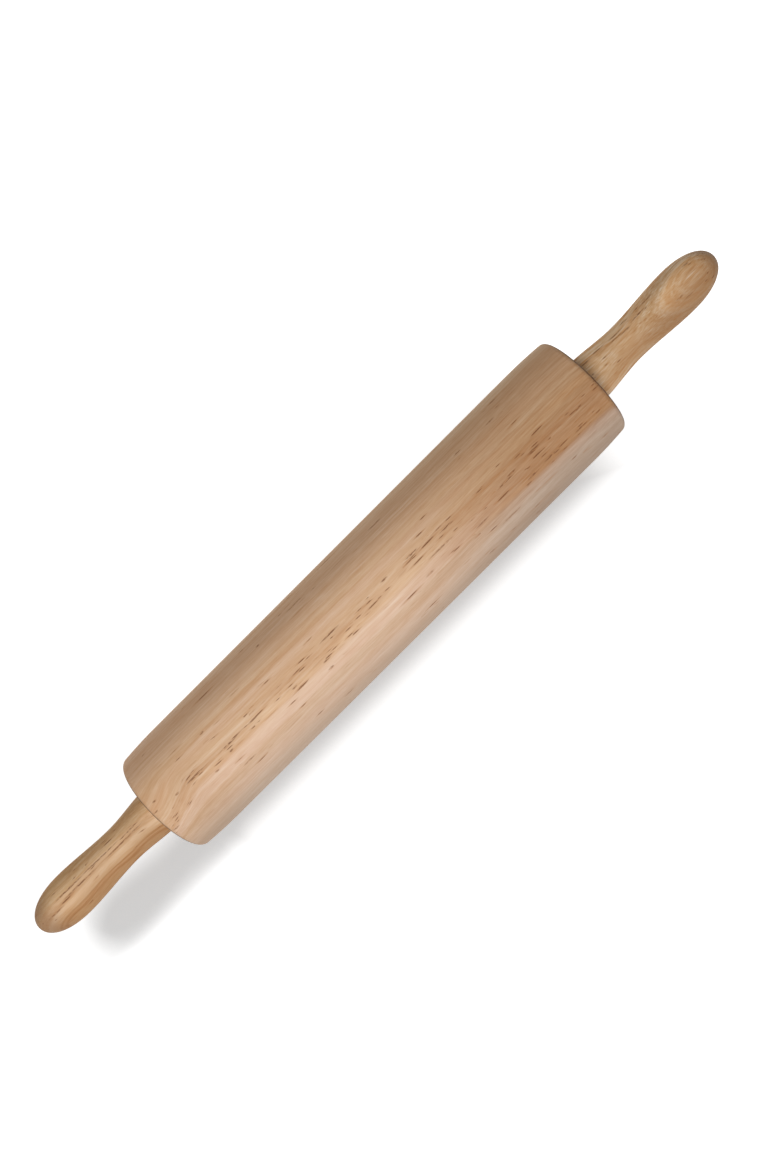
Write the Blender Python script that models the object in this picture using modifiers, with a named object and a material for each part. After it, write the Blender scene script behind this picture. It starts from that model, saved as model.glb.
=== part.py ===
"""A revolving wooden rolling pin: a barrel that turns on a steel rod in two ball bearings.

The pin lies along X on the worktop, with Z up and the origin on the worktop, under the
barrel's middle. Lengths are in metres. Each piece is modelled about its own Z axis, the way
it would stand on a lathe or a bench, and the empty that carries it lays that axis along X.
"""
import math

import bmesh
import bpy
from mathutils import Matrix

# Unit, clearances and the distance within which two points are one
MM = 0.001
FIT_GAP = 0.3 * MM            # between two pieces that seat on each other
RUN_GAP = 0.5 * MM            # the slit between the barrel and each handle
BORE_ROOM = 1.5 * MM          # between the rod and the barrel's bore
MERGE = 0.1 * MM
OVERRUN = 0.5 * MM            # how far a cutter runs past what it cuts

# Barrel
BARREL_LENGTH = 250 * MM
BARREL_DIAMETER = 51 * MM
END_RELIEF = 0.7 * MM         # how far each end is sanded below the full radius
END_RELIEF_LENGTH = 20 * MM
BARREL_EDGE = 2.6 * MM        # rounding of the end arrises

# Handles
HANDLE_LENGTH = 74.5 * MM
BULB_DIAMETER = 20.9 * MM     # the swelling that fills the palm
NECK_DIAMETER = 17.7 * MM     # the waist
ROOT_DIAMETER = 21 * MM       # next to the barrel
ROOT_EDGE = 0.7 * MM          # rounding of the root's rim
NOSE_SHARE = 0.275            # of the handle's length, from the swelling to the tip
NECK_SHARE = 0.32             # of the handle's length, from the root to the waist
GRIP_SHARE = 0.56             # of the handle's length, filled by the rod
NOSE_POWER = 2.2              # 2 makes the nose an ellipse, and more makes it blunter

# Rod
JOURNAL_DIAMETER = 8 * MM     # the turned ends that carry the bearings and the handles
ROD_SHOULDER = 1 * MM         # the step that each inner ring bears on
ROD_CHAMFER = 0.8 * MM
ROD_END_ROOM = 1.5 * MM       # left in the handle past the rod's end

# Ball bearings
BALL_COUNT = 7
BALL_DIAMETER = 2.8 * MM
BEARING_INSET = 2.4 * MM      # from the barrel's end face to the bearing
INNER_WALL = 0.8 * MM         # left under the inner ring's race
OUTER_WALL = 1 * MM           # left around the outer ring's race
RACE_DEPTH = 0.8 * MM
RING_CHAMFER = 0.3 * MM
CAGE_RIM = 0.4 * MM           # beside the cage's pockets
SHIELD_THICKNESS = 0.4 * MM
SHIELD_RECESS = 0.2 * MM      # from the rings' faces to the shield
SHIELD_STEP = 0.6 * MM        # the ledge in the outer ring that a shield seats on

# Handle inserts
INSERT_LENGTH = 15 * MM
INSERT_WALL = 1.7 * MM
BARB_HEIGHT = 0.4 * MM
BARB_COUNT = 3

# Facets
ROUND_SIDES = 32
ROD_SIDES = 24
POCKET_SIDES = 12
BALL_SEGMENTS = 10
BALL_RINGS = 6
CORNER_STEPS = 4
RELIEF_STEPS = 4
WAIST_STEPS = 8
NOSE_STEPS = 8
RACE_STEPS = 4
SMOOTH_ANGLE = math.radians(35)

# Radii and places that follow from the sizes above. Places are measured along the pin from
# the barrel's middle.
BARREL_RADIUS = BARREL_DIAMETER / 2
BARREL_END = BARREL_LENGTH / 2
HANDLE_START = BARREL_END + RUN_GAP
JOURNAL_RADIUS = JOURNAL_DIAMETER / 2
ROD_RADIUS = JOURNAL_RADIUS + ROD_SHOULDER
ROD_GRIP = HANDLE_LENGTH * GRIP_SHARE
BALL_RADIUS = BALL_DIAMETER / 2
RACE_RADIUS = BALL_RADIUS + FIT_GAP
RING_BORE = JOURNAL_RADIUS + FIT_GAP
PITCH_RADIUS = RING_BORE + INNER_WALL + RACE_RADIUS
INNER_LAND = PITCH_RADIUS - RACE_RADIUS + RACE_DEPTH
OUTER_LAND = PITCH_RADIUS + RACE_RADIUS - RACE_DEPTH
BEARING_RADIUS = PITCH_RADIUS + RACE_RADIUS + OUTER_WALL
CAGE_HALF = RACE_RADIUS + CAGE_RIM
SHIELD_INNER_FACE = CAGE_HALF + FIT_GAP
BEARING_HALF = SHIELD_INNER_FACE + SHIELD_THICKNESS + SHIELD_RECESS
BEARING_PLACE = BARREL_END - BEARING_INSET - BEARING_HALF
SEAT_FLOOR = BEARING_PLACE - BEARING_HALF - FIT_GAP
SEAT_RADIUS = BEARING_RADIUS + FIT_GAP
SPACER_START = BEARING_PLACE + BEARING_HALF + FIT_GAP
SPACER_LENGTH = HANDLE_START - FIT_GAP - SPACER_START
INSERT_RADIUS = RING_BORE + INSERT_WALL


def clear_scene():
    for obj in list(bpy.data.objects):
        bpy.data.objects.remove(obj, do_unlink=True)


def new_collection(name):
    group = bpy.data.collections.new(name)
    bpy.context.scene.collection.children.link(group)
    return group


def new_material(name, color, roughness, metallic):
    finish = bpy.data.materials.new(name)
    finish.use_nodes = True
    shader = finish.node_tree.nodes["Principled BSDF"]
    shader.inputs["Base Color"].default_value = (*color, 1)
    shader.inputs["Roughness"].default_value = roughness
    shader.inputs["Metallic"].default_value = metallic
    return finish


def new_axis(name, group, parent=None):
    """An empty that pieces hang on. Its Z axis is the line that they turn about."""
    axis = bpy.data.objects.new(name, None)
    group.objects.link(axis)
    axis.parent = parent
    axis.empty_display_size = BARREL_RADIUS
    return axis


def place(name, mesh, axis, group, location=(0, 0, 0)):
    piece = bpy.data.objects.new(name, mesh)
    group.objects.link(piece)
    piece.parent = axis
    piece.location = location
    return piece


def mesh_from(bm, name, finish):
    mesh = bpy.data.meshes.new(name)
    bm.to_mesh(mesh)
    bm.free()
    if finish:
        mesh.materials.append(finish)
    return mesh


def mirrored(outline):
    """An outline from its upper half, which ends at the outside."""
    return outline + [(radius, -height) for radius, height in reversed(outline)]


def arc(centre_radius, centre_height, size, start, end, steps):
    """Points on a circle in an outline's plane. An angle of 0 points away from the axis."""
    angles = [math.radians(start + (end - start) * i / steps) for i in range(steps + 1)]
    return [(centre_radius + size * math.cos(a), centre_height + size * math.sin(a)) for a in angles]


def turned(name, outline, finish, sides=ROUND_SIDES, ring=True):
    """A solid turned about Z from (radius, height) points that go down its outer side.

    Radii reach the middle of each facet, and a facet faces +X. A ring's outline is closed,
    and any other outline starts and ends on the axis.
    """
    corner = 1 / math.cos(math.pi / sides)
    bm = bmesh.new()
    points = [bm.verts.new((radius * corner, 0, height)) for radius, height in outline]
    for start, end in zip(points, points[1:]):
        bm.edges.new((start, end))
    if ring:
        bm.edges.new((points[-1], points[0]))
    profile = bpy.data.objects.new(name, mesh_from(bm, name + "_outline", finish))
    bpy.context.scene.collection.objects.link(profile)
    screw = profile.modifiers.new("Turn", "SCREW")
    screw.steps = sides
    screw.render_steps = sides
    screw.use_merge_vertices = True
    screw.merge_threshold = MERGE
    evaluated = profile.evaluated_get(bpy.context.evaluated_depsgraph_get())
    mesh = bpy.data.meshes.new_from_object(evaluated)
    mesh.name = name
    mesh.transform(Matrix.Rotation(math.pi / sides, 4, "Z"))
    mesh.shade_smooth()
    mesh.set_sharp_from_angle(angle=SMOOTH_ANGLE)
    bpy.data.objects.remove(profile, do_unlink=True)
    return mesh


def ease(start, end, share):
    """A value that leaves start and reaches end without a corner."""
    return start + (end - start) * share * share * (3 - 2 * share)


def barrel_mesh(finish):
    end_radius = BARREL_RADIUS - END_RELIEF
    edge_place = BARREL_END - BARREL_EDGE
    half = [
        (ROD_RADIUS + BORE_ROOM, SEAT_FLOOR),
        (SEAT_RADIUS, SEAT_FLOOR),
        (SEAT_RADIUS, BARREL_END),
    ]
    half += arc(end_radius - BARREL_EDGE, edge_place, BARREL_EDGE, 90, 0, CORNER_STEPS)
    for i in range(1, RELIEF_STEPS + 1):
        share = 1 - i / RELIEF_STEPS
        height = BARREL_END - END_RELIEF_LENGTH + (END_RELIEF_LENGTH - BARREL_EDGE) * share
        half.append((BARREL_RADIUS - END_RELIEF * share * share, height))
    return turned("barrel", mirrored(half), finish)


def rod_mesh(finish):
    end = HANDLE_START + ROD_GRIP
    half = [
        (0, end),
        (JOURNAL_RADIUS - ROD_CHAMFER, end),
        (JOURNAL_RADIUS, end - ROD_CHAMFER),
        (JOURNAL_RADIUS, SEAT_FLOOR),
        (ROD_RADIUS, SEAT_FLOOR),
    ]
    return turned("centre_rod", mirrored(half), finish, sides=ROD_SIDES, ring=False)


def handle_outside():
    """The grip's outline from its tip to the rim of its root."""
    bulb = BULB_DIAMETER / 2
    neck = NECK_DIAMETER / 2
    root = ROOT_DIAMETER / 2
    nose = HANDLE_LENGTH * NOSE_SHARE
    neck_place = HANDLE_LENGTH * NECK_SHARE
    bulb_place = HANDLE_LENGTH - nose
    outline = [(0, HANDLE_LENGTH)]
    for i in range(1, NOSE_STEPS + 1):
        angle = math.pi / 2 * i / NOSE_STEPS
        radius = bulb * math.sin(angle) ** (2 / NOSE_POWER)
        outline.append((radius, bulb_place + nose * math.cos(angle) ** (2 / NOSE_POWER)))
    for i in range(1, WAIST_STEPS + 1):
        share = i / WAIST_STEPS
        outline.append((ease(bulb, neck, share), bulb_place + (neck_place - bulb_place) * share))
    for i in range(1, WAIST_STEPS):
        share = i / WAIST_STEPS
        outline.append((ease(neck, root, share), neck_place + (ROOT_EDGE - neck_place) * share))
    outline += arc(root - ROOT_EDGE, ROOT_EDGE, ROOT_EDGE, 0, -90, CORNER_STEPS)
    return outline


def handle_mesh(finish):
    insert_depth = INSERT_LENGTH + FIT_GAP
    hole_depth = ROD_GRIP + ROD_END_ROOM
    outline = handle_outside() + [
        (INSERT_RADIUS + FIT_GAP, 0),
        (INSERT_RADIUS + FIT_GAP, insert_depth),
        (RING_BORE, insert_depth),
        (RING_BORE, hole_depth),
        (0, hole_depth),
    ]
    return turned("handle", outline, finish, ring=False)


def insert_mesh(finish):
    """A barbed bush. The barbs' steep sides face the handle's root, so it can't pull out."""
    core = INSERT_RADIUS - BARB_HEIGHT
    pitch = INSERT_LENGTH / BARB_COUNT
    outline = [(core, INSERT_LENGTH)]
    for i in range(1, BARB_COUNT):
        height = INSERT_LENGTH - pitch * i
        outline += [(INSERT_RADIUS, height), (core, height)]
    outline += [(INSERT_RADIUS, pitch - BARB_HEIGHT), (INSERT_RADIUS, 0)]
    outline += [(RING_BORE, 0), (RING_BORE, INSERT_LENGTH)]
    return turned("handle_insert", outline, finish)


def spacer_mesh(finish):
    outline = [
        (INNER_LAND - RING_CHAMFER, SPACER_LENGTH),
        (INNER_LAND, SPACER_LENGTH - RING_CHAMFER),
        (INNER_LAND, RING_CHAMFER),
        (INNER_LAND - RING_CHAMFER, 0),
        (RING_BORE, 0),
        (RING_BORE, SPACER_LENGTH),
    ]
    return turned("spacer", outline, finish)


def outer_ring_mesh(finish):
    reach = math.degrees(math.acos((OUTER_LAND - PITCH_RADIUS) / RACE_RADIUS))
    ledge = OUTER_LAND + SHIELD_STEP
    outline = [
        (BEARING_RADIUS - RING_CHAMFER, BEARING_HALF),
        (BEARING_RADIUS, BEARING_HALF - RING_CHAMFER),
        (BEARING_RADIUS, RING_CHAMFER - BEARING_HALF),
        (BEARING_RADIUS - RING_CHAMFER, -BEARING_HALF),
        (ledge, -BEARING_HALF),
        (ledge, -CAGE_HALF),
        (OUTER_LAND, -CAGE_HALF),
    ]
    outline += arc(PITCH_RADIUS, 0, RACE_RADIUS, -reach, reach, RACE_STEPS)
    outline += [(OUTER_LAND, CAGE_HALF), (ledge, CAGE_HALF), (ledge, BEARING_HALF)]
    return turned("bearing_outer_ring", outline, finish)


def inner_ring_mesh(finish):
    reach = math.degrees(math.acos((PITCH_RADIUS - INNER_LAND) / RACE_RADIUS))
    outline = [
        (INNER_LAND - RING_CHAMFER, BEARING_HALF),
        (INNER_LAND, BEARING_HALF - RING_CHAMFER),
    ]
    outline += arc(PITCH_RADIUS, 0, RACE_RADIUS, 180 - reach, 180 + reach, RACE_STEPS)
    outline += [
        (INNER_LAND, RING_CHAMFER - BEARING_HALF),
        (INNER_LAND - RING_CHAMFER, -BEARING_HALF),
        (RING_BORE, -BEARING_HALF),
        (RING_BORE, BEARING_HALF),
    ]
    return turned("bearing_inner_ring", outline, finish)


def shield_mesh(finish):
    outer = OUTER_LAND + SHIELD_STEP - FIT_GAP
    inner = INNER_LAND + FIT_GAP
    outline = [(outer, SHIELD_THICKNESS), (outer, 0), (inner, 0), (inner, SHIELD_THICKNESS)]
    return turned("bearing_shield", outline, finish)


def cage_mesh(finish):
    outer = OUTER_LAND - FIT_GAP
    inner = INNER_LAND + FIT_GAP
    outline = [(outer, CAGE_HALF), (outer, -CAGE_HALF), (inner, -CAGE_HALF), (inner, CAGE_HALF)]
    return turned("ball_cage", outline, finish)


def pockets_mesh():
    """The cutters of a cage's pockets: one round bar through each ball, pointing outwards."""
    bm = bmesh.new()
    length = OUTER_LAND - INNER_LAND + OVERRUN
    for angle in ball_angles():
        stand = Matrix.Translation((PITCH_RADIUS, 0, 0)) @ Matrix.Rotation(math.pi / 2, 4, "Y")
        bmesh.ops.create_cone(
            bm, cap_ends=True, segments=POCKET_SIDES, radius1=RACE_RADIUS, radius2=RACE_RADIUS,
            depth=length, matrix=Matrix.Rotation(angle, 4, "Z") @ stand,
        )
    return mesh_from(bm, "ball_pockets", None)


def ball_mesh(finish):
    bm = bmesh.new()
    bmesh.ops.create_uvsphere(bm, u_segments=BALL_SEGMENTS, v_segments=BALL_RINGS, radius=BALL_RADIUS)
    mesh = mesh_from(bm, "bearing_ball", finish)
    mesh.shade_smooth()
    return mesh


def ball_angles():
    return [math.tau * i / BALL_COUNT for i in range(BALL_COUNT)]


def add_ball_set(side, axis, meshes, group, cutters):
    """The cage of one bearing and its balls, which go round together."""
    cage = place(f"ball_cage_{side}", meshes["cage"], axis, group, (0, 0, BEARING_PLACE))
    cutter = place(f"ball_pockets_{side}", meshes["pockets"], cage, cutters)
    cutter.hide_render = True
    cutter.display_type = "WIRE"
    cut = cage.modifiers.new("Pockets", "BOOLEAN")
    cut.operation = "DIFFERENCE"
    cut.solver = "EXACT"
    cut.object = cutter
    for number, angle in enumerate(ball_angles(), start=1):
        spot = (PITCH_RADIUS * math.cos(angle), PITCH_RADIUS * math.sin(angle), BEARING_PLACE)
        place(f"ball_{side}_{number}", meshes["ball"], axis, group, spot)


def add_end(side, fixed, turning, rolling, meshes, group, cutters):
    """Everything at one end of the pin, on the axes of the three bodies that meet there."""
    bearing = (0, 0, BEARING_PLACE)
    outer_shield = (0, 0, BEARING_PLACE + SHIELD_INNER_FACE)
    inner_shield = (0, 0, BEARING_PLACE - SHIELD_INNER_FACE - SHIELD_THICKNESS)
    place(f"bearing_outer_ring_{side}", meshes["outer_ring"], fixed, group, bearing)
    place(f"shield_out_{side}", meshes["shield"], fixed, group, outer_shield)
    place(f"shield_in_{side}", meshes["shield"], fixed, group, inner_shield)
    place(f"bearing_inner_ring_{side}", meshes["inner_ring"], turning, group, bearing)
    place(f"spacer_{side}", meshes["spacer"], turning, group, (0, 0, SPACER_START))
    place(f"handle_insert_{side}", meshes["insert"], turning, group, (0, 0, HANDLE_START))
    place(f"handle_{side}", meshes["handle"], turning, group, (0, 0, HANDLE_START))
    add_ball_set(side, rolling, meshes, group, cutters)


def all_meshes():
    barrel_wood = new_material("barrel_wood", (0.58, 0.39, 0.23), 0.5, 0)
    handle_wood = new_material("handle_wood", (0.52, 0.33, 0.18), 0.5, 0)
    steel = new_material("bright_steel", (0.6, 0.6, 0.62), 0.3, 1)
    brass = new_material("turned_brass", (0.78, 0.57, 0.26), 0.35, 1)
    nylon = new_material("natural_nylon", (0.8, 0.78, 0.7), 0.45, 0)
    return {
        "barrel": barrel_mesh(barrel_wood),
        "rod": rod_mesh(steel),
        "handle": handle_mesh(handle_wood),
        "insert": insert_mesh(brass),
        "spacer": spacer_mesh(nylon),
        "outer_ring": outer_ring_mesh(steel),
        "inner_ring": inner_ring_mesh(steel),
        "shield": shield_mesh(steel),
        "cage": cage_mesh(nylon),
        "pockets": pockets_mesh(),
        "ball": ball_mesh(steel),
    }


def main():
    clear_scene()
    group = new_collection("rolling_pin")
    cutters = new_collection("cutters")
    meshes = all_meshes()
    pin = new_axis("pin_axis", group)
    pin.location = (0, 0, BARREL_RADIUS)
    pin.rotation_euler = (0, math.pi / 2, 0)
    spindle = new_axis("spindle_axis", group, pin)
    place("barrel", meshes["barrel"], pin, group)
    place("centre_rod", meshes["rod"], spindle, group)
    for side, half_turn in (("right", 0), ("left", math.pi)):
        axes = [
            new_axis(f"barrel_end_{side}", group, pin),
            new_axis(f"spindle_end_{side}", group, spindle),
            new_axis(f"ball_set_{side}", group, pin),
        ]
        for axis in axes:
            axis.rotation_euler = (half_turn, 0, 0)
        add_end(side, *axes, meshes, group, cutters)


main()
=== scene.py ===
"""The looks of a revolving wooden rolling pin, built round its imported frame.

The pin lies along X with its axis one barrel radius above the floor. Wood is a solid
pattern in Object coordinates, measured in millimetres from the pin's axis, so each turned
shape cuts through its growth rings as a lathe does.
"""
import math

import bmesh
import bpy
from mathutils import Matrix, Vector


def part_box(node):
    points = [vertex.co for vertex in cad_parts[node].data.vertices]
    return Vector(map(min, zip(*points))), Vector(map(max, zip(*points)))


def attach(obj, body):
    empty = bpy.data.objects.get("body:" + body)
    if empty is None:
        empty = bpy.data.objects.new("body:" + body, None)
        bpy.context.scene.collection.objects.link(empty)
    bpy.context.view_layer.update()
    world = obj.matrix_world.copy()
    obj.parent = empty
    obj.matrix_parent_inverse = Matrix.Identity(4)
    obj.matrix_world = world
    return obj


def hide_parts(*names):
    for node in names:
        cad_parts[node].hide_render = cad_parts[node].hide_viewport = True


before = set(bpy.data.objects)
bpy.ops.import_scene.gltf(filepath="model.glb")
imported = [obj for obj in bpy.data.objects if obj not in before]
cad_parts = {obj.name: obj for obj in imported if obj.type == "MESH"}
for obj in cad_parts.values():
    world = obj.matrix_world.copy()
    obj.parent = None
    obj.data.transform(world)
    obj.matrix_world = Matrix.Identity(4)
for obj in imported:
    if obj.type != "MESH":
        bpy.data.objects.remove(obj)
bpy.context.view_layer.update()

MM = 0.001

# The picture, and how the pin lies in it
PICTURE_HEIGHT = 1170
FOCAL_PIXELS = 1236
SENSOR = 36
CAMERA_HEIGHT = 519.5 * MM    # above the pin's axis
CAMERA_PLACE = Vector((25.1, 0)) * MM
AIM_PLACE = Vector((8.4, -2)) * MM
PIN_SLANT = math.radians(44.93)

# Barrel, from the frame, with the same sanded relief and rounding as its solid
BARREL_LOW, BARREL_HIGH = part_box("barrel")
BARREL_RADIUS = (BARREL_HIGH.z - BARREL_LOW.z) / 2
BARREL_END = BARREL_HIGH.x
AXIS = Vector((0, 0, BARREL_RADIUS))
END_RELIEF = 0.7 * MM
END_RELIEF_LENGTH = 20 * MM
BARREL_EDGE = 2.6 * MM
BORE_ROOM = 1.5 * MM          # between the rod and the barrel's bore
FIT_GAP = 0.3 * MM

# Handles
HANDLE_LOW, HANDLE_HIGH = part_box("handle_right")
HANDLE_START = HANDLE_LOW.x
HANDLE_LENGTH = HANDLE_HIGH.x - HANDLE_START
BULB_DIAMETER = 20.9 * MM
NECK_DIAMETER = 17.7 * MM
ROOT_DIAMETER = 21 * MM
ROOT_EDGE = 0.7 * MM
JOURNAL_DIAMETER = 8 * MM
ROD_END_ROOM = 1.5 * MM
NOSE_SHARE = 0.275            # of the handle's length, from the swelling to the tip
NECK_SHARE = 0.32             # of the handle's length, from the root to the waist
NOSE_POWER = 2.2

# Steps of the turned meshes
TURN_STEPS = 160
CURVE_STEPS = 24
CORNER_STEPS = 10
MERGE = 0.001 * MM
SHARP_ANGLE = math.radians(40)

# Lamps
LAMP_DISTANCE = 1.0
KEY_TILT = math.radians(-43)  # about the pin from straight above, towards the picture's upper left
KEY_ALONG = -0.28
KEY_SIZE = 0.35
KEY_POWER = 3.6
PAPER_KEY_POWER = 4.4         # more of the key's light, for the paper alone
FILL_TILT = math.radians(42)  # towards the picture's lower right
FILL_ALONG = -0.1
FILL_SIZE = 0.5
FILL_POWER = 8
SKY_STRENGTH = 0.2

# Paper
PAPER_REACH = 6
PAPER_WHITE = 0.85
PAPER_BOUNCE = 0.3            # how much light it throws back at the pin
PAPER_GLOW = 0.465            # its light towards the camera, over what the lamps give
FADE_GLOW = 0.45              # more of it where the picture's shadow fades out
# Where the shadow starts to fade, and where it is gone
FADE_BESIDE = 31 * MM, 45 * MM     # from the pin's axis, beside the left handle
FADE_PAST = 150 * MM, 180 * MM     # along the pin, from the shadow's middle
SHADOW_MIDDLE = -55 * MM
# Beside the barrel the shadow fades this much nearer to the axis, and that sets in along the pin here
BARREL_NEARER = 4 * MM
HANDLE_TO_BARREL = -130 * MM, -110 * MM

# Rubberwood in all three pieces, in millimetres
WANDER_LENGTH = 120
WANDER_WIDTH = 36
# Streaks: length, width, detail, swing of the tone
RING_STREAKS = (140, 2.2, 2.0, 0.13), (60, 0.8, 1.0, 0.07)
FIBRE_STREAKS = (22, 0.9, 3.0, 0.09), (6, 0.4, 2.0, 0.11)
STREAK_DEPTH = 1.1            # how much a streak deepens the colour
# Patches: length, width, and the noise at which they start and are full
WARM_PATCHES = 70, 3, 0.45, 0.75
PORE_CLUSTERS = 28, 4, 0.36, 0.62
WARM_COLOR, WARM_SHARE = "#c08b5c", 0.2
CLUSTER_STAIN = 0.45          # of a cluster's share of open pores
# Pore cells: length, width, a dash's reach as a share of its cell, shift of each row along the pin
PORE_CELLS = (7, 0.8, 0.2, 2.2), (15, 1.2, 0.18, -3)
DASH_CORE = 0.7               # the share of a dash's reach that is fully dark
HALO_REACH = 2.6              # of the stain round a dash, in reaches of the dash
STRING_WIDTH = 1.1
DASH_LENGTH = 1.8             # in a pore string
DASH_WIDTH = 0.4
DASH_NOISE = 0.38, 0.52       # the noise at which a dash in a string starts and is full
STAIN_COLOR, STAIN_SHARE = "#a36c3c", 0.5
PORE_COLOR, PORE_SHARE = "#663e22", 0.8
FULL_WITHIN = 0.2             # a swerve or a pore string is full within this share of its reach
FLAT_END = 0.97               # what faces along the pin by more than this is a flat end

# The wood's skin, whose tone is also its height
SKIN_TONES = 0.8, 1.2         # of a dark and a light streak
SKIN_ROUGHNESS = 0.72, 0.6    # at those tones
SKIN_SPECULAR = 0.25
SKIN_BUMP = 0.5
SKIN_DEPTH = 0.1 * MM         # what a height of 1 stands for
PORE_DEPTH = 0.8              # as a height

# The pieces inside, with the sizes of their patterns in millimetres
METAL_SHADES = 0.7, 1.3       # a shade is the sum of the tool's rings and the drift
METAL_TONES = 1.06, 0.92      # at those shades, times its colour
METAL_POLISH = 0.7, 1.4       # at those shades, times its roughness
DRIFT_SIZE = 4
CLOUD_SIZE = 3
GRIT_SIZE = 0.15
NYLON_COLORS = "#ddd3ba", "#ebe4d2"
NYLON_ROUGHNESS = 0.35, 0.6
FINE_BUMP = 0.3
FINE_DEPTH = 0.01 * MM

# Each piece's own wood, in millimetres:
# pith       how far it lies from the pin's axis, across and up
# drift      how far the grain moves across for each millimetre along
# swerve     where a nearby knot bends the grain: place along and across, reach along and across,
#            pull across and up
# wander     how far the grain strays slowly
# streaks    contrast of the streaks
# bands      sets of (distance from the pith, colour, share of its cells with an open pore), and
#            for each set after the first the stretch of the pin over which it takes over
# side       painted shade on the flank towards negative Y: where it starts and is full across the
#            pin, the same along the pin if it isn't as long as the piece, its colour and share
# end_grain_and_painted_shade  darker end grain, partly oil and partly painted shade: how far the surface
# faces along the pin
#            where it starts and is full, its strength on a rounded rim and on a flat end, and its colour
# strings    pore strings: place along, degrees from the top towards the picture's lower right,
#            length, strength
BARREL_WOOD = {
    "pith": (90, -25),
    "drift": 0.008,
    "swerve": (-130, -2, 30, 18, 6, 0),
    "wander": 0.8,
    "streaks": 1,
    "bands": (
        (None, (
            (70, "#cba584", 0.06), (82, "#c8a281", 0.08), (90, "#cba583", 0.05), (93.5, "#c8a07a", 0.06),
            (97, "#d0aa87", 0.05), (101.5, "#cba683", 0.12), (103, "#cba684", 0.9), (107, "#cfaa88", 0.9),
            (109, "#cfad91", 0.12), (111.5, "#ceae94", 0.06), (113, "#c8a688", 0.08), (114, "#c4a283", 0.12),
            (117, "#c6a78d", 0.08), (121, "#b99e86", 0.05),
        )),
        ((-112, -82), (
            (70, "#cfa985", 0.06), (82, "#c8a281", 0.1), (90, "#d0aa88", 0.05), (93.5, "#d0a984", 0.06),
            (97, "#d5b090", 0.05), (101.5, "#d2ad8a", 0.4), (103, "#d3af8d", 1), (107, "#d8b491", 1),
            (109, "#d7b599", 0.12), (111.5, "#d8b89f", 0.06), (113, "#cfaf93", 0.08), (114, "#cbaa8d", 0.12),
            (117, "#d0b29a", 0.08), (121, "#c6ab93", 0.05),
        )),
        ((0, 95), (
            (70, "#c9a682", 0.06), (82, "#c29a76", 0.1), (90, "#bf9773", 0.06), (97, "#b38b66", 0.06),
            (101, "#b08862", 0.4), (103, "#aa825d", 1), (107, "#a47b57", 1), (110, "#a87f5a", 0.8),
            (112, "#a87f59", 0.6), (113.8, "#b2957f", 0.06), (116, "#b19985", 0.08), (121, "#ab9380", 0.05),
        )),
    ),
    # painted shade, darkening the flank towards negative Y
    "side": ((-17, -25), None, "#96806d", 0.35),
    # oiled end grain and painted shade: the dark line at the barrel's rims, where the handles meet it
    "end_grain_and_painted_shade": (0.6, 0.88, 0.9, 0.4, "#54361f"),
    "strings": (
        (-122.5, 0, 3, 0.9), (-120, -8, 3, 0.8), (-122, 25, 5, 0.7), (-111, 2, 3, 1), (-101, 2, 14, 1),
        (-93, 13, 3, 0.8), (-87, -22, 3, 0.9), (-82, 3, 13, 1), (-83, 9, 3, 1), (-68, 3, 8, 0.8),
        (-81, 28, 9, 0.6), (-47, -47, 3, 0.9), (-47, 9, 4, 0.8), (-31, 20, 4, 1), (-30, 12, 6, 0.8),
        (-22, -3, 14, 1), (9, -3, 5, 0.9), (24, -2, 9, 1), (24, 23, 6, 0.9), (34, 13, 18, 0.7),
        (42, 3, 11, 0.9), (53, 24, 10, 0.7), (71, 12, 15, 0.9), (75, 10, 6, 1), (81, 26, 9, 1),
        (91, 25, 10, 1), (88, 9, 9, 1), (112, 11, 8, 1), (107, 26, 6, 0.9), (64, 41, 16, 0.6),
        (98, 45, 4, 0.8), (-24, -52, 14, 0.8), (22, -52, 10, 0.8), (66, -41, 5, 0.8), (84, -40, 6, 0.7),
    ),
}
LEFT_HANDLE_WOOD = {
    "pith": (65.4, -40),
    "drift": 0.03,
    "swerve": (-149, 0, 30, 60, -2.2, 0),
    "wander": 0.4,
    "streaks": 1.3,
    "bands": (
        (None, (
            (70, "#b3895c", 0.2), (76.8, "#bb9467", 0.2), (81.3, "#c49d71", 0.3), (83.4, "#cca67b", 0.5),
            (85.1, "#d6b18b", 0.4), (86.6, "#c8a17a", 0.2), (88.4, "#dfbf9d", 0.1), (89.9, "#d0aa82", 0.1),
            (90.35, "#a5784c", 0.3), (90.65, "#c0946a", 0.2), (91.05, "#a3754a", 0.3),
            (91.35, "#bd956c", 0.2), (92.2, "#b38b60", 0.2),
        )),
    ),
    # painted shade, darkening the flank towards negative Y
    "side": ((-5, -10), None, "#a1764c", 0.35),
    # oiled end grain and painted shade over the rounded tip
    "end_grain_and_painted_shade": (0, 0.4, 0.6, 0.6, "#896548"),
    "strings": (
        (-176, -17, 22, 1), (-158, -18, 28, 0.9), (-141, -15, 14, 0.7), (-171, -6, 26, 0.9),
        (-146, -6, 30, 0.9), (-187, 3, 14, 0.7),
    ),
}
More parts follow.
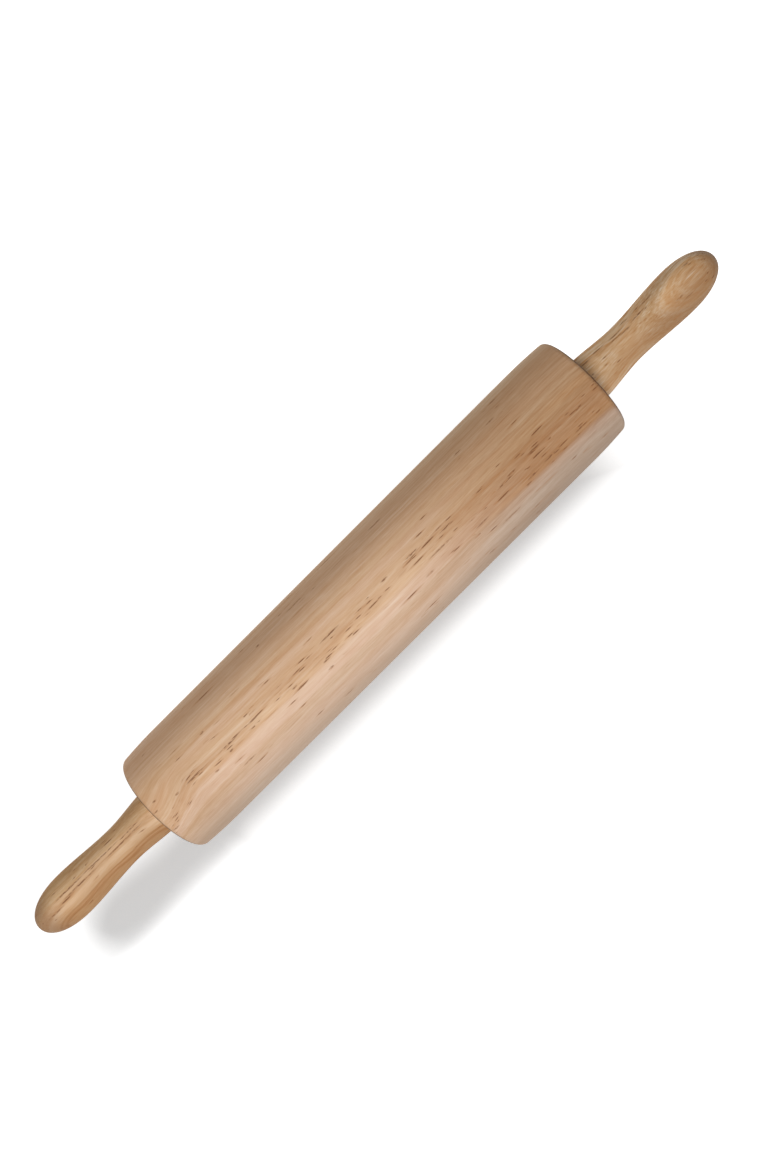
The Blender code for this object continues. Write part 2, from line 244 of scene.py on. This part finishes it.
RIGHT_HANDLE_WOOD = {
    "pith": (6, -50),
    "drift": 0,
    "swerve": (215, 0, 70, 200, 0, 7),
    "wander": 0.6,
    "streaks": 2.7,
    "bands": (
        (None, (
            (40, "#b8906a", 0.2), (52, "#dcb388", 0.2), (56, "#e8c195", 0.3), (57, "#dab083", 0.5),
            (57.8, "#d8ad80", 0.4), (58.5, "#d3ac82", 0.2), (60.4, "#c8a177", 0.2), (61.6, "#c8a177", 0.1),
            (62.3, "#cda67c", 0.1), (62.9, "#e0ba90", 0.1), (63.6, "#deb68b", 0.2), (64.6, "#d8b085", 0.3),
            (66, "#d0a77d", 0.2),
        )),
    ),
    # painted shade, darkening the flank towards negative Y near the barrel and along the bulb
    "side": ((5, -6), (100, 172), "#8d6541", 0.7),
    # oiled end grain and painted shade over the rounded tip
    "end_grain_and_painted_shade": (0.2, 0.6, 0.55, 0.55, "#896548"),
    "strings": (
        (130, -35, 11, 0.7), (137, -39, 10, 0.8), (146, -29, 10, 1), (147, -38, 11, 0.9), (151, -25, 8, 0.8),
        (159, -31, 10, 1), (166, -44, 9, 0.9), (128, -2, 5, 0.8), (129, 6, 6, 0.6), (187, -34, 5, 0.7),
        (179, 26, 9, 0.5), (176, 14, 8, 0.5),
    ),
}


def linear(code):
    """The linear colour of an sRGB hex value."""
    parts = [int(code[i:i + 2], 16) / 255 for i in (1, 3, 5)]
    return [*(p / 12.92 if p <= 0.04045 else ((p + 0.055) / 1.055) ** 2.4 for p in parts), 1]


def add_node(tree, kind, inputs=None, **settings):
    """Adds a node. An input is a value, a socket, or a node whose first output is meant."""
    node = tree.nodes.new(kind)
    for name, value in settings.items():
        setattr(node, name, value)
    for socket, value in (inputs or {}).items():
        if isinstance(value, bpy.types.Node):
            value = value.outputs[0]
        if isinstance(value, bpy.types.NodeSocket):
            tree.links.new(value, node.inputs[socket])
        else:
            node.inputs[socket].default_value = value
    return node


def link_object(name, data):
    piece = bpy.data.objects.new(name, data)
    bpy.context.scene.collection.objects.link(piece)
    return piece


def turned(name, outline, closed):
    """A piece turned about the pin's axis from (place along X, radius) points."""
    bm = bmesh.new()
    points = [bm.verts.new((place, 0, BARREL_RADIUS + radius)) for place, radius in outline]
    edges = [bm.edges.new(pair) for pair in zip(points, points[1:])]
    if closed:
        edges.append(bm.edges.new((points[-1], points[0])))
    bmesh.ops.spin(
        bm, geom=points + edges, cent=AXIS, axis=(1, 0, 0), dvec=(0, 0, 0),
        angle=math.tau, steps=TURN_STEPS, use_merge=True,
    )
    bmesh.ops.remove_doubles(bm, verts=bm.verts, dist=MERGE)
    bmesh.ops.recalc_face_normals(bm, faces=bm.faces)
    mesh = bpy.data.meshes.new(name)
    bm.to_mesh(mesh)
    bm.free()
    mesh.shade_smooth()
    mesh.set_sharp_from_angle(angle=SHARP_ANGLE)
    return link_object(name, mesh)


def arc(place, radius, size, start, end):
    """Points on a circle in an outline's plane. 0 degrees points along X, and 90 away from the axis."""
    angles = [math.radians(start + (end - start) * i / CORNER_STEPS) for i in range(CORNER_STEPS + 1)]
    return [(place + size * math.cos(a), radius + size * math.sin(a)) for a in angles]


def ease(start, end, share):
    """A value that leaves start and reaches end without a corner."""
    return start + (end - start) * share * share * (3 - 2 * share)


def barrel_outline():
    """The closed outline: sanded relief and rounded arrises outside, bearing seats and bore inside."""
    ring_low, ring_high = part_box("bearing_outer_ring_right")
    rod_low, rod_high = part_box("centre_rod")
    seat_floor = ring_low.x - FIT_GAP
    seat_radius = ring_high.z - BARREL_RADIUS + FIT_GAP
    bore_radius = (rod_high.z - rod_low.z) / 2 + BORE_ROOM
    relief_start = BARREL_END - END_RELIEF_LENGTH
    edge_place = BARREL_END - BARREL_EDGE
    half = []
    for i in range(CURVE_STEPS):
        share = i / CURVE_STEPS
        place = relief_start + (edge_place - relief_start) * share
        half.append((place, BARREL_RADIUS - END_RELIEF * share ** 2))
    half += arc(edge_place, BARREL_RADIUS - END_RELIEF - BARREL_EDGE, BARREL_EDGE, 90, 0)
    half += [(BARREL_END, seat_radius), (seat_floor, seat_radius), (seat_floor, bore_radius)]
    return half + [(-place, radius) for place, radius in reversed(half)]


def handle_outline():
    """The right handle's outline: its blind hole from the floor outwards, then the grip from root to tip."""
    bulb = BULB_DIAMETER / 2
    neck = NECK_DIAMETER / 2
    root = ROOT_DIAMETER / 2
    nose = HANDLE_LENGTH * NOSE_SHARE
    rim_place = HANDLE_START + ROOT_EDGE
    neck_place = HANDLE_START + HANDLE_LENGTH * NECK_SHARE
    bulb_place = HANDLE_START + HANDLE_LENGTH - nose
    insert_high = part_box("handle_insert_right")[1]
    insert_floor = insert_high.x + FIT_GAP
    insert_radius = insert_high.z - BARREL_RADIUS + FIT_GAP
    hole_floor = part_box("centre_rod")[1].x + ROD_END_ROOM
    hole_radius = JOURNAL_DIAMETER / 2 + FIT_GAP
    outline = [
        (hole_floor, 0), (hole_floor, hole_radius), (insert_floor, hole_radius),
        (insert_floor, insert_radius), (HANDLE_START, insert_radius),
    ]
    outline += arc(rim_place, root - ROOT_EDGE, ROOT_EDGE, 180, 90)
    for i in range(1, CURVE_STEPS):
        share = i / CURVE_STEPS
        outline.append((rim_place + (neck_place - rim_place) * share, ease(root, neck, share)))
    for i in range(CURVE_STEPS):
        share = i / CURVE_STEPS
        outline.append((neck_place + (bulb_place - neck_place) * share, ease(neck, bulb, share)))
    for i in range(CURVE_STEPS):
        angle = math.pi / 2 * i / CURVE_STEPS
        radius = bulb * math.cos(angle) ** (2 / NOSE_POWER)
        outline.append((bulb_place + nose * math.sin(angle) ** (2 / NOSE_POWER), radius))
    return outline + [(HANDLE_START + HANDLE_LENGTH, 0)]


def new_finish(name):
    """A new material, with its node tree and shader."""
    finish = bpy.data.materials.new(name)
    finish.use_nodes = True
    return finish, finish.node_tree, finish.node_tree.nodes["Principled BSDF"]


def pin_place(tree):
    """Millimetres from the pin's middle: X along it, Y and Z across."""
    place = add_node(tree, "ShaderNodeTexCoord")
    return add_node(tree, "ShaderNodeMapping", {
        "Vector": place.outputs["Object"],
        "Location": (0, 0, -BARREL_RADIUS / MM),
        "Scale": (1 / MM, 1 / MM, 1 / MM),
    })


def grain_place(tree, wood, spot):
    """Where a point lies in a straight-grained board, X along the grain."""
    slow = add_node(tree, "ShaderNodeMapping", {
        "Vector": spot, "Scale": (1 / WANDER_LENGTH, 1 / WANDER_WIDTH, 1 / WANDER_WIDTH),
    })
    wander = add_node(tree, "ShaderNodeTexNoise", {
        "Vector": slow, "Scale": 1.0, "Detail": 1.0,
    }, normalize=False)
    grain = add_node(tree, "ShaderNodeVectorMath", {
        0: wander.outputs["Color"], 1: (0, wood["wander"], wood["wander"]), 2: spot,
    }, operation="MULTIPLY_ADD")
    along = add_node(tree, "ShaderNodeSeparateXYZ", {0: spot})
    grain = add_node(tree, "ShaderNodeVectorMath", {
        0: along, 1: (0, wood["drift"], 0), 2: grain,
    }, operation="MULTIPLY_ADD")
    place_along, place_across, reach_along, reach_across, *pull = wood["swerve"]
    from_knot = add_node(tree, "ShaderNodeVectorMath", {
        0: spot,
        1: (1 / reach_along, 1 / reach_across, 0),
        2: (-place_along / reach_along, -place_across / reach_across, 0),
    }, operation="MULTIPLY_ADD")
    far = add_node(tree, "ShaderNodeVectorMath", {0: from_knot}, operation="LENGTH")
    share = add_node(tree, "ShaderNodeMapRange", {
        "Value": far.outputs["Value"], "From Min": 1.0, "From Max": FULL_WITHIN,
    }, interpolation_type="SMOOTHSTEP")
    return add_node(tree, "ShaderNodeVectorMath", {
        0: share, 1: (0, *pull), 2: grain,
    }, operation="MULTIPLY_ADD")


def growth_bands(tree, wood, along, radius):
    """The rings' colour and share of open pores, by distance from the pith."""
    color = pores = None
    for stretch, bands in wood["bands"]:
        first, last = bands[0][0], bands[-1][0]
        share = add_node(tree, "ShaderNodeMapRange", {
            "Value": radius, "From Min": first, "From Max": last,
        })
        ramp = add_node(tree, "ShaderNodeValToRGB", {"Fac": share})
        ramp.color_ramp.interpolation = "EASE"
        stops = ramp.color_ramp.elements
        for number, (distance, code, pore_share) in enumerate(bands):
            if number == 0:
                stop = stops[0]
            elif distance == last:
                stop = stops[-1]
            else:
                stop = stops.new((distance - first) / (last - first))
            stop.color = (*linear(code)[:3], pore_share)
        if stretch is None:
            color, pores = ramp.outputs["Color"], ramp.outputs["Alpha"]
            continue
        reach = add_node(tree, "ShaderNodeMapRange", {
            "Value": along, "From Min": stretch[0], "From Max": stretch[1],
        }, interpolation_type="SMOOTHSTEP")
        mix = add_node(tree, "ShaderNodeMix", {
            0: reach, 6: color, 7: ramp.outputs["Color"],
        }, data_type="RGBA")
        color = mix.outputs[2]
        pores = add_node(tree, "ShaderNodeMix", {0: reach, 2: pores, 3: ramp.outputs["Alpha"]})
    return color, pores


def wood_tone(tree, grain, rings, contrast):
    """A tone about 1, from streaks along the rings, fibres and fine flecks."""
    tone = 1.0
    for place, streaks in ((rings, RING_STREAKS), (grain, FIBRE_STREAKS)):
        for length, width, detail, swing in streaks:
            spot = add_node(tree, "ShaderNodeMapping", {
                "Vector": place, "Scale": (1 / length, 1 / width, 1 / width),
            })
            noise = add_node(tree, "ShaderNodeTexNoise", {
                "Vector": spot, "Scale": 1.0, "Detail": detail,
            }, normalize=False)
            tone = add_node(tree, "ShaderNodeMath", {
                0: noise, 1: swing * contrast, 2: tone,
            }, operation="MULTIPLY_ADD")
    return tone


def patches(tree, place, length, width, start, full):
    """0 to 1 in soft patches of about this length along the grain, and width across it."""
    spot = add_node(tree, "ShaderNodeMapping", {
        "Vector": place, "Scale": (1 / length, 1 / width, 1 / width),
    })
    noise = add_node(tree, "ShaderNodeTexNoise", {"Vector": spot, "Scale": 1.0, "Detail": 2.0})
    return add_node(tree, "ShaderNodeMapRange", {
        "Value": noise, "From Min": start, "From Max": full,
    }, interpolation_type="SMOOTHSTEP")


def open_pores(tree, grain, share):
    """Pores cut open along the grain, in loose clusters: thin dashes, and the stain through each cluster.
    Each row of cells is shifted along the pin, so that the dashes form no columns."""
    cluster = patches(tree, grain, *PORE_CLUSTERS)
    share = add_node(tree, "ShaderNodeMath", {0: share, 1: cluster}, operation="MULTIPLY")
    row = add_node(tree, "ShaderNodeSeparateXYZ", {0: grain}).outputs["Y"]
    core = 0.0
    stain = add_node(tree, "ShaderNodeMath", {0: share, 1: CLUSTER_STAIN}, operation="MULTIPLY")
    for length, width, size, shift in PORE_CELLS:
        shifted = add_node(tree, "ShaderNodeVectorMath", {
            0: row, 1: (shift, 0, 0), 2: grain,
        }, operation="MULTIPLY_ADD")
        spot = add_node(tree, "ShaderNodeMapping", {
            "Vector": shifted, "Scale": (1 / length, 1 / width, 1 / width),
        })
        cell = add_node(tree, "ShaderNodeTexVoronoi", {"Vector": spot, "Scale": 1.0})
        chance = add_node(tree, "ShaderNodeSeparateColor", {0: cell.outputs["Color"]}).outputs
        here = add_node(tree, "ShaderNodeMath", {0: chance["Red"], 1: share}, operation="LESS_THAN")
        reach = add_node(tree, "ShaderNodeMath", {
            0: chance["Green"], 1: size, 2: size / 2,
        }, operation="MULTIPLY_ADD")
        off = add_node(tree, "ShaderNodeMath", {0: cell.outputs["Distance"], 1: reach}, operation="DIVIDE")
        dash = add_node(tree, "ShaderNodeMapRange", {
            "Value": off, "From Min": 1.0, "From Max": DASH_CORE, "To Max": here,
        }, interpolation_type="SMOOTHSTEP")
        halo = add_node(tree, "ShaderNodeMapRange", {
            "Value": off, "From Min": HALO_REACH, "From Max": DASH_CORE, "To Max": here,
        }, interpolation_type="SMOOTHSTEP")
        core = add_node(tree, "ShaderNodeMath", {0: dash, 1: core}, operation="MAXIMUM")
        stain = add_node(tree, "ShaderNodeMath", {0: halo, 1: stain}, operation="MAXIMUM")
    return core, stain


def pore_strings(tree, wood, spot, radius):
    """Strings of pores that lie in one line: a long faint stain, and the dark dashes in it."""
    place = add_node(tree, "ShaderNodeSeparateXYZ", {0: spot})
    across = add_node(tree, "ShaderNodeMath", {0: place.outputs["Y"], 1: -1.0}, operation="MULTIPLY")
    turn = add_node(tree, "ShaderNodeMath", {0: across, 1: place.outputs["Z"]}, operation="ARCTAN2")
    skin = add_node(tree, "ShaderNodeCombineXYZ", {0: place, 1: turn})
    reach_round = STRING_WIDTH / 2 / radius
    stain = 0.0
    for along, degrees, length, strength in wood["strings"]:
        reach_along = length / 2
        from_middle = add_node(tree, "ShaderNodeVectorMath", {
            0: skin,
            1: (1 / reach_along, 1 / reach_round, 0),
            2: (-along / reach_along, -math.radians(degrees) / reach_round, 0),
        }, operation="MULTIPLY_ADD")
        off = add_node(tree, "ShaderNodeVectorMath", {0: from_middle}, operation="LENGTH")
        mark = add_node(tree, "ShaderNodeMapRange", {
            "Value": off.outputs["Value"], "From Min": 1.0, "From Max": FULL_WITHIN, "To Max": strength,
        }, interpolation_type="SMOOTHSTEP")
        stain = add_node(tree, "ShaderNodeMath", {0: mark, 1: stain}, operation="MAXIMUM")
    fine = add_node(tree, "ShaderNodeMapping", {
        "Vector": spot, "Scale": (1 / DASH_LENGTH, 1 / DASH_WIDTH, 1 / DASH_WIDTH),
    })
    noise = add_node(tree, "ShaderNodeTexNoise", {"Vector": fine, "Scale": 1.0, "Detail": 1.0})
    dash = add_node(tree, "ShaderNodeMapRange", {
        "Value": noise, "From Min": DASH_NOISE[0], "From Max": DASH_NOISE[1],
    })
    return add_node(tree, "ShaderNodeMath", {0: stain, 1: dash}, operation="MULTIPLY"), stain


def painted_shade_side(tree, wood, grain, along):
    """How much painted shade darkens the flank towards negative Y, and its colour."""
    reach_across, reach_along, code, strength = wood["side"]
    across = add_node(tree, "ShaderNodeSeparateXYZ", {0: grain}).outputs["Y"]
    reaches = [(across, reach_across)]
    if reach_along:
        reaches.append((along, reach_along))
    share = strength
    for place, (start, full) in reaches:
        near = add_node(tree, "ShaderNodeMapRange", {
            "Value": place, "From Min": start, "From Max": full,
        }, interpolation_type="SMOOTHSTEP")
        share = add_node(tree, "ShaderNodeMath", {0: near, 1: share}, operation="MULTIPLY")
    return share, code


def end_grain_and_painted_shade(tree, wood):
    """How much darker the ends are, and the colour they take: end grain that drinks more oil, and painted
    shade on the rounded rims and tips.
    """
    start, full, rim_strength, flat_strength, code = wood["end_grain_and_painted_shade"]
    facing = add_node(tree, "ShaderNodeTexCoord").outputs["Normal"]
    facing = add_node(tree, "ShaderNodeSeparateXYZ", {0: facing})
    facing = add_node(tree, "ShaderNodeMath", {0: facing}, operation="ABSOLUTE")
    share = add_node(tree, "ShaderNodeMapRange", {
        "Value": facing, "From Min": start, "From Max": full,
    }, interpolation_type="SMOOTHSTEP")
    strength = add_node(tree, "ShaderNodeMapRange", {
        "Value": facing, "From Min": FLAT_END, "To Min": rim_strength, "To Max": flat_strength,
    }, interpolation_type="SMOOTHSTEP")
    return add_node(tree, "ShaderNodeMath", {0: share, 1: strength}, operation="MULTIPLY"), code


def satin_skin(tree, shader, tone, core):
    """The shine of sanded, oiled wood: rougher in dark streaks, with the pores sunk in it."""
    rough = add_node(tree, "ShaderNodeMapRange", {
        "Value": tone, "From Min": SKIN_TONES[0], "From Max": SKIN_TONES[1],
        "To Min": SKIN_ROUGHNESS[0], "To Max": SKIN_ROUGHNESS[1],
    })
    height = add_node(tree, "ShaderNodeMath", {
        0: core, 1: -PORE_DEPTH, 2: tone,
    }, operation="MULTIPLY_ADD")
    bump = add_node(tree, "ShaderNodeBump", {
        "Height": height, "Strength": SKIN_BUMP, "Distance": SKIN_DEPTH,
    })
    shader.inputs["Specular IOR Level"].default_value = SKIN_SPECULAR
    tree.links.new(rough.outputs[0], shader.inputs["Roughness"])
    tree.links.new(bump.outputs[0], shader.inputs["Normal"])


def rubberwood(name, wood, radius):
    """Rubberwood, turned, sanded and oiled: straw to pinkish tan with little ring contrast, a satin
    skin, and long open pores that show as short dark dashes, each in a faint orange stain."""
    finish, tree, shader = new_finish(name)
    spot = pin_place(tree)
    grain = grain_place(tree, wood, spot)
    along = add_node(tree, "ShaderNodeSeparateXYZ", {0: spot}).outputs["X"]
    pith_y, pith_z = wood["pith"]
    from_pith = add_node(tree, "ShaderNodeVectorMath", {
        0: grain, 1: (0, 1, 1), 2: (0, -pith_y, -pith_z),
    }, operation="MULTIPLY_ADD")
    ring = add_node(tree, "ShaderNodeVectorMath", {0: from_pith}, operation="LENGTH").outputs["Value"]
    color, pore_share = growth_bands(tree, wood, along, ring)
    rings = add_node(tree, "ShaderNodeCombineXYZ", {0: along, 1: ring})
    warm = patches(tree, rings, *WARM_PATCHES)
    warm = add_node(tree, "ShaderNodeMath", {0: warm, 1: WARM_SHARE}, operation="MULTIPLY")
    mix = add_node(tree, "ShaderNodeMix", {0: warm, 6: color, 7: linear(WARM_COLOR)}, data_type="RGBA")
    # A power deepens blue the most, so dark streaks are warmer and light ones paler, as in oiled wood
    tone = wood_tone(tree, grain, rings, wood["streaks"])
    depth = add_node(tree, "ShaderNodeMath", {
        0: tone, 1: -STREAK_DEPTH, 2: 1 + STREAK_DEPTH,
    }, operation="MULTIPLY_ADD")
    color = add_node(tree, "ShaderNodeGamma", {"Color": mix.outputs[2], "Gamma": depth})
    core, stain = open_pores(tree, grain, pore_share)
    string_core, string_stain = pore_strings(tree, wood, spot, radius / MM)
    core = add_node(tree, "ShaderNodeMath", {0: core, 1: string_core}, operation="MAXIMUM")
    stain = add_node(tree, "ShaderNodeMath", {0: stain, 1: string_stain}, operation="MAXIMUM")
    stain = add_node(tree, "ShaderNodeMath", {0: stain, 1: STAIN_SHARE}, operation="MULTIPLY")
    dark = add_node(tree, "ShaderNodeMath", {0: core, 1: PORE_SHARE}, operation="MULTIPLY")
    # The first mix is painted shade on one flank; the last is oiled end grain with painted shade at the ends
    for share, code in (
        painted_shade_side(tree, wood, grain, along),
        (stain, STAIN_COLOR),
        (dark, PORE_COLOR),
        end_grain_and_painted_shade(tree, wood),
    ):
        mix = add_node(tree, "ShaderNodeMix", {0: share, 6: color, 7: linear(code)}, data_type="RGBA")
        color = mix.outputs[2]
    tree.links.new(color, shader.inputs["Base Color"])
    satin_skin(tree, shader, tone, core)
    return finish


def turned_metal(name, code, roughness, pitch):
    """Metal off a lathe: fine rings round the axis from the tool, and a soft drift in its polish."""
    finish, tree, shader = new_finish(name)
    spot = pin_place(tree)
    along = add_node(tree, "ShaderNodeSeparateXYZ", {0: spot})
    across = add_node(tree, "ShaderNodeVectorMath", {0: spot, 1: (0, 1, 1)}, operation="MULTIPLY")
    across = add_node(tree, "ShaderNodeVectorMath", {0: across}, operation="LENGTH")
    lathe = add_node(tree, "ShaderNodeCombineXYZ", {0: along, 1: across.outputs["Value"]})
    marks = add_node(tree, "ShaderNodeTexNoise", {"Vector": lathe, "Scale": 1 / pitch, "Detail": 2.0})
    drift = add_node(tree, "ShaderNodeTexNoise", {
        "Vector": spot, "Scale": 1 / DRIFT_SIZE, "Detail": 2.0,
    })
    shade = add_node(tree, "ShaderNodeMath", {0: marks, 1: drift}, operation="ADD")
    polish = add_node(tree, "ShaderNodeMapRange", {
        "Value": shade, "From Min": METAL_SHADES[0], "From Max": METAL_SHADES[1],
        "To Min": roughness * METAL_POLISH[0], "To Max": roughness * METAL_POLISH[1],
    })
    tone = add_node(tree, "ShaderNodeMapRange", {
        "Value": shade, "From Min": METAL_SHADES[0], "From Max": METAL_SHADES[1],
        "To Min": METAL_TONES[0], "To Max": METAL_TONES[1],
    })
    color = add_node(tree, "ShaderNodeVectorMath", {0: linear(code)[:3], "Scale": tone}, operation="SCALE")
    bump = add_node(tree, "ShaderNodeBump", {
        "Height": marks, "Strength": FINE_BUMP, "Distance": FINE_DEPTH,
    })
    shader.inputs["Metallic"].default_value = 1.0
    tree.links.new(color.outputs[0], shader.inputs["Base Color"])
    tree.links.new(polish.outputs[0], shader.inputs["Roughness"])
    tree.links.new(bump.outputs[0], shader.inputs["Normal"])
    return finish


def moulded_nylon(name):
    """Natural nylon, injection moulded: a creamy off-white with faint clouding and a fine matt grain."""
    finish, tree, shader = new_finish(name)
    spot = pin_place(tree)
    cloud = add_node(tree, "ShaderNodeTexNoise", {
        "Vector": spot, "Scale": 1 / CLOUD_SIZE, "Detail": 2.0,
    })
    grit = add_node(tree, "ShaderNodeTexNoise", {"Vector": spot, "Scale": 1 / GRIT_SIZE, "Detail": 1.0})
    color = add_node(tree, "ShaderNodeMix", {
        0: cloud, 6: linear(NYLON_COLORS[0]), 7: linear(NYLON_COLORS[1]),
    }, data_type="RGBA")
    rough = add_node(tree, "ShaderNodeMapRange", {
        "Value": grit, "To Min": NYLON_ROUGHNESS[0], "To Max": NYLON_ROUGHNESS[1],
    })
    bump = add_node(tree, "ShaderNodeBump", {
        "Height": grit, "Strength": FINE_BUMP, "Distance": FINE_DEPTH,
    })
    tree.links.new(color.outputs[2], shader.inputs["Base Color"])
    tree.links.new(rough.outputs[0], shader.inputs["Roughness"])
    tree.links.new(bump.outputs[0], shader.inputs["Normal"])
    return finish


def add_camera():
    camera = link_object("camera", bpy.data.cameras.new("camera"))
    bpy.context.scene.camera = camera
    camera.data.sensor_width = SENSOR
    camera.data.lens = SENSOR * FOCAL_PIXELS / PICTURE_HEIGHT
    stand = Vector((*CAMERA_PLACE, BARREL_RADIUS + CAMERA_HEIGHT))
    back = (stand - Vector((*AIM_PLACE, BARREL_RADIUS))).normalized()
    across = back.cross(Vector((1, 0, 0))).normalized()
    along = across.cross(back)
    right = along * math.cos(PIN_SLANT) - across * math.sin(PIN_SLANT)
    up = along * math.sin(PIN_SLANT) + across * math.cos(PIN_SLANT)
    turn = Matrix((right, up, back)).transposed()
    camera.matrix_world = Matrix.Translation(stand) @ turn.to_4x4()


def add_lamp(name, tilt, along, size, power):
    """A square softbox at its tilt about the pin's axis, facing the pin's middle."""
    lamp = link_object(name, bpy.data.lights.new(name, "AREA"))
    lamp.data.size = size
    lamp.data.energy = power
    lamp.location = AXIS + Vector((along, -LAMP_DISTANCE * math.sin(tilt), LAMP_DISTANCE * math.cos(tilt)))
    lamp.rotation_euler = (lamp.location - AXIS).to_track_quat("Z", "Y").to_euler()
    return lamp


def light_paper(lamp, paper, state):
    """Makes a lamp light the paper alone, or all but the paper."""
    group = bpy.data.collections.new(lamp.name + "_paper")
    lamp.light_linking.receiver_collection = group
    group.objects.link(paper)
    group.collection_objects[0].light_linking.link_state = state


def seen_directly(tree):
    """1 where the camera, a reflection or a view through glass meets it, and 0 for the light it gives."""
    path = add_node(tree, "ShaderNodeLightPath").outputs
    seen = 0.0
    for ray in ("Is Camera Ray", "Is Glossy Ray", "Is Transmission Ray"):
        seen = add_node(tree, "ShaderNodeMath", {0: path[ray], 1: seen}, operation="MAXIMUM")
    return seen


def add_sky():
    world = bpy.data.worlds.new("studio")
    bpy.context.scene.world = world
    world.use_nodes = True
    tree = world.node_tree
    tree.nodes.clear()
    strength = add_node(tree, "ShaderNodeMapRange", {"Value": seen_directly(tree), "To Min": SKY_STRENGTH})
    sky = add_node(tree, "ShaderNodeBackground", {"Color": (1, 1, 1, 1), "Strength": strength})
    add_node(tree, "ShaderNodeOutputWorld", {"Surface": sky})


def add_paper():
    """Seamless white paper. It glows where the shadow fades: beside the pin, and past the shadow's ends."""
    bm = bmesh.new()
    bmesh.ops.create_grid(bm, x_segments=1, y_segments=1, size=PAPER_REACH)
    mesh = bpy.data.meshes.new("paper")
    bm.to_mesh(mesh)
    bm.free()
    paper = link_object("paper", mesh)
    finish, tree, shader = new_finish("white_paper")
    tree.nodes.clear()
    place = add_node(tree, "ShaderNodeTexCoord").outputs["Object"]
    place = add_node(tree, "ShaderNodeSeparateXYZ", {0: place}).outputs
    nearer = add_node(tree, "ShaderNodeMapRange", {
        "Value": place["X"], "From Min": HANDLE_TO_BARREL[0], "From Max": HANDLE_TO_BARREL[1],
    }, interpolation_type="SMOOTHSTEP")
    aside = add_node(tree, "ShaderNodeMath", {0: place["Y"]}, operation="ABSOLUTE")
    aside = add_node(tree, "ShaderNodeMath", {
        0: nearer, 1: BARREL_NEARER, 2: aside,
    }, operation="MULTIPLY_ADD")
    along = add_node(tree, "ShaderNodeMath", {0: place["X"], 1: SHADOW_MIDDLE}, operation="SUBTRACT")
    along = add_node(tree, "ShaderNodeMath", {0: along}, operation="ABSOLUTE")
    more = 0.0
    for distance, (start, full) in ((aside, FADE_BESIDE), (along, FADE_PAST)):
        faded = add_node(tree, "ShaderNodeMapRange", {
            "Value": distance, "From Min": start, "From Max": full,
        }, interpolation_type="SMOOTHSTEP")
        more = add_node(tree, "ShaderNodeMath", {0: faded, 1: more}, operation="MAXIMUM")
    seen = seen_directly(tree)
    glow = add_node(tree, "ShaderNodeMath", {
        0: more, 1: FADE_GLOW, 2: PAPER_GLOW,
    }, operation="MULTIPLY_ADD")
    glow = add_node(tree, "ShaderNodeMath", {0: glow, 1: seen}, operation="MULTIPLY")
    shade = add_node(tree, "ShaderNodeMapRange", {
        "Value": seen, "To Min": PAPER_BOUNCE, "To Max": PAPER_WHITE,
    })
    matt = add_node(tree, "ShaderNodeBsdfDiffuse", {"Color": shade})
    light = add_node(tree, "ShaderNodeEmission", {"Color": (1, 1, 1, 1), "Strength": glow})
    both = add_node(tree, "ShaderNodeAddShader", {0: matt, 1: light})
    add_node(tree, "ShaderNodeOutputMaterial", {"Surface": both})
    mesh.materials.append(finish)
    return paper


def add_barrel():
    barrel = turned("barrel_turned", barrel_outline(), True)
    barrel.data.materials.append(rubberwood("rubberwood_barrel", BARREL_WOOD, BARREL_RADIUS))
    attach(barrel, "barrel")
    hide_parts("barrel")


def add_handles():
    outline = handle_outline()
    for side, flip, wood in (("left", -1, LEFT_HANDLE_WOOD), ("right", 1, RIGHT_HANDLE_WOOD)):
        handle = turned(f"handle_{side}_turned", [(flip * place, radius) for place, radius in outline], False)
        handle.data.materials.append(rubberwood(f"rubberwood_handle_{side}", wood, BULB_DIAMETER / 2))
        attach(handle, "spindle")
        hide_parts(f"handle_{side}")


def finish_inner_pieces():
    """The CAD's own pieces inside the wood keep their shape and get these finishes by name."""
    finishes = {
        # Bright mild steel: a cool grey mirror broken by fine rings
        "bright_steel": turned_metal("bright_steel", "#c3c4c6", roughness=0.25, pitch=0.15),
        # Turned brass: warm yellow, a little duller than the steel
        "turned_brass": turned_metal("turned_brass", "#d9b36c", roughness=0.3, pitch=0.2),
        "natural_nylon": moulded_nylon("natural_nylon"),
    }
    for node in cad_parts.values():
        for slot in node.material_slots:
            if slot.material.name in finishes:
                slot.material = finishes[slot.material.name]


bpy.context.scene.view_settings.view_transform = "Standard"
add_camera()
add_sky()
paper = add_paper()
add_lamp("key", KEY_TILT, KEY_ALONG, KEY_SIZE, KEY_POWER)
light_paper(add_lamp("paper_key", KEY_TILT, KEY_ALONG, KEY_SIZE, PAPER_KEY_POWER), paper, "INCLUDE")
light_paper(add_lamp("fill", FILL_TILT, FILL_ALONG, FILL_SIZE, FILL_POWER), paper, "EXCLUDE")
add_barrel()
add_handles()
finish_inner_pieces()
